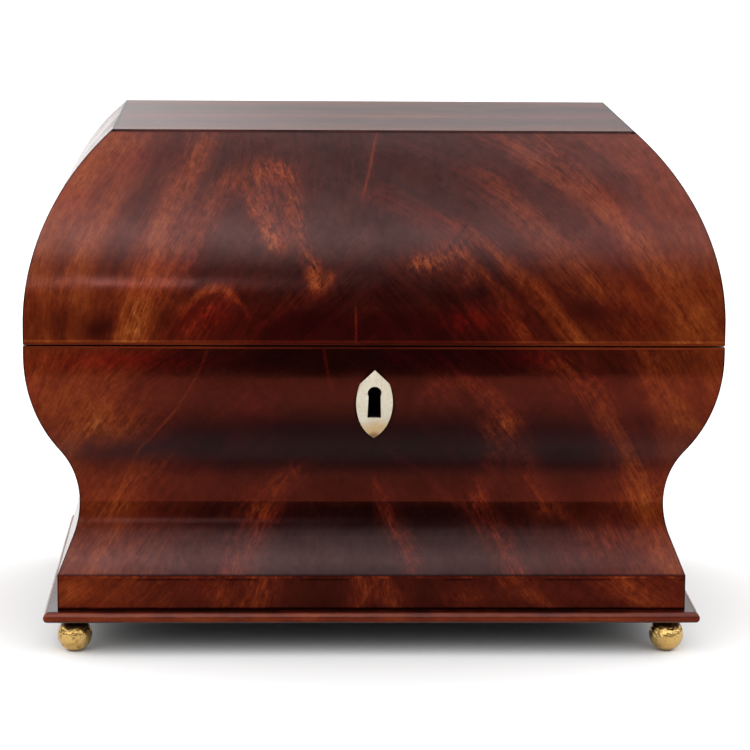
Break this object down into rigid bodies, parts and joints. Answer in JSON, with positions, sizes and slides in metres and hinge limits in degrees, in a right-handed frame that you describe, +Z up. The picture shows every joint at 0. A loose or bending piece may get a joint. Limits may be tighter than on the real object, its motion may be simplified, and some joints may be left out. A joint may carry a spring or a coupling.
{
  "type": "tea chest",
  "caption": "Antique mahogany tea chest with swollen sides, hinged lid, bone escutcheon, brass ball feet, lidded tea compartments and a glass mixing bowl.",
  "frame": {"origin": "on the surface that the feet stand on, under the middle of the chest", "axes": "+Z up, the front with the keyhole faces -Y, +X to the right as seen from the front"},
  "size_m": [0.33, 0.2319, 0.2506],
  "materials": {
    "mahogany_veneer": "French polished flame veneer",
    "mahogany": "polished",
    "pine": "planed, bare, aged",
    "brass": "polished, slightly tarnished",
    "spring_steel": "bright",
    "bone": "polished bone, slightly yellowed",
    "tea_foil": "dull tinned lead foil",
    "lining_paper": "matt paper",
    "clear_glass": "polished"
  },
  "bodies": {
    "chest": {"base_board": "pine", "base_moulding_front": "mahogany", "base_moulding_back": "mahogany", "base_moulding_left": "mahogany", "base_moulding_right": "mahogany", "ball_foot_front_left": "brass", "ball_foot_front_right": "brass", "ball_foot_back_left": "brass", "ball_foot_back_right": "brass", "carcase_bottom": "pine", "body_wall_front": "pine", "body_wall_back": "pine", "body_wall_left": "pine", "body_wall_right": "pine", "body_veneer_front_left": "mahogany_veneer", "body_veneer_front_right": "mahogany_veneer", "body_veneer_back": "mahogany_veneer", "body_veneer_left": "mahogany_veneer", "body_veneer_right": "mahogany_veneer", "plinth_veneer": "mahogany_veneer", "body_rim_facing": "mahogany", "partition_left": "mahogany", "partition_right": "mahogany", "foil_lining_left": "tea_foil", "foil_lining_right": "tea_foil", "interior_ledges": "pine", "collar_board": "mahogany", "hinge_leaf_body_left": "brass", "hinge_leaf_body_right": "brass", "hinge_pin_left": "spring_steel", "hinge_pin_right": "spring_steel", "escutcheon": "bone", "lock_case": "brass", "body_screws": "brass"},
    "lid": {"lid_wall_front": "pine", "lid_wall_back": "pine", "lid_wall_left": "pine", "lid_wall_right": "pine", "lid_veneer_front_left": "mahogany_veneer", "lid_veneer_front_right": "mahogany_veneer", "lid_veneer_back": "mahogany_veneer", "lid_veneer_left": "mahogany_veneer", "lid_veneer_right": "mahogany_veneer", "lid_veneer_top": "mahogany_veneer", "lid_top_panel": "pine", "lid_lining": "lining_paper", "lid_rim_facing": "mahogany", "hinge_leaf_lid_left": "brass", "hinge_leaf_lid_right": "brass", "link_plate": "brass", "lid_screws": "brass"},
    "bolt": {"lock_bolt": "brass", "lock_spring": "spring_steel"},
    "left_tea_lid": {"compartment_lid_left": "mahogany", "knob_left": "bone"},
    "right_tea_lid": {"compartment_lid_right": "mahogany", "knob_right": "bone"},
    "bowl": {"glass_bowl": "clear_glass"}
  },
  "joints": [
    {"name": "lid_hinge", "type": "hinge", "parent": "chest", "child": "lid", "pos_m": [0, 0.115, 0.1531], "axis": [-1, 0, 0], "range_deg": [0, 100]},
    {"name": "lock_bolt_slide", "type": "slide", "parent": "chest", "child": "bolt", "axis": [1, 0, 0], "range_m": [0, 0.006]},
    {"name": "left_tea_lid_lift", "type": "slide", "parent": "chest", "child": "left_tea_lid", "axis": [0, 0, 1], "range_m": [0, 0.07]},
    {"name": "right_tea_lid_lift", "type": "slide", "parent": "chest", "child": "right_tea_lid", "axis": [0, 0, 1], "range_m": [0, 0.07]},
    {"name": "bowl_lift", "type": "slide", "parent": "chest", "child": "bowl", "axis": [0, 0, 1], "range_m": [0, 0.085]}
  ]
}
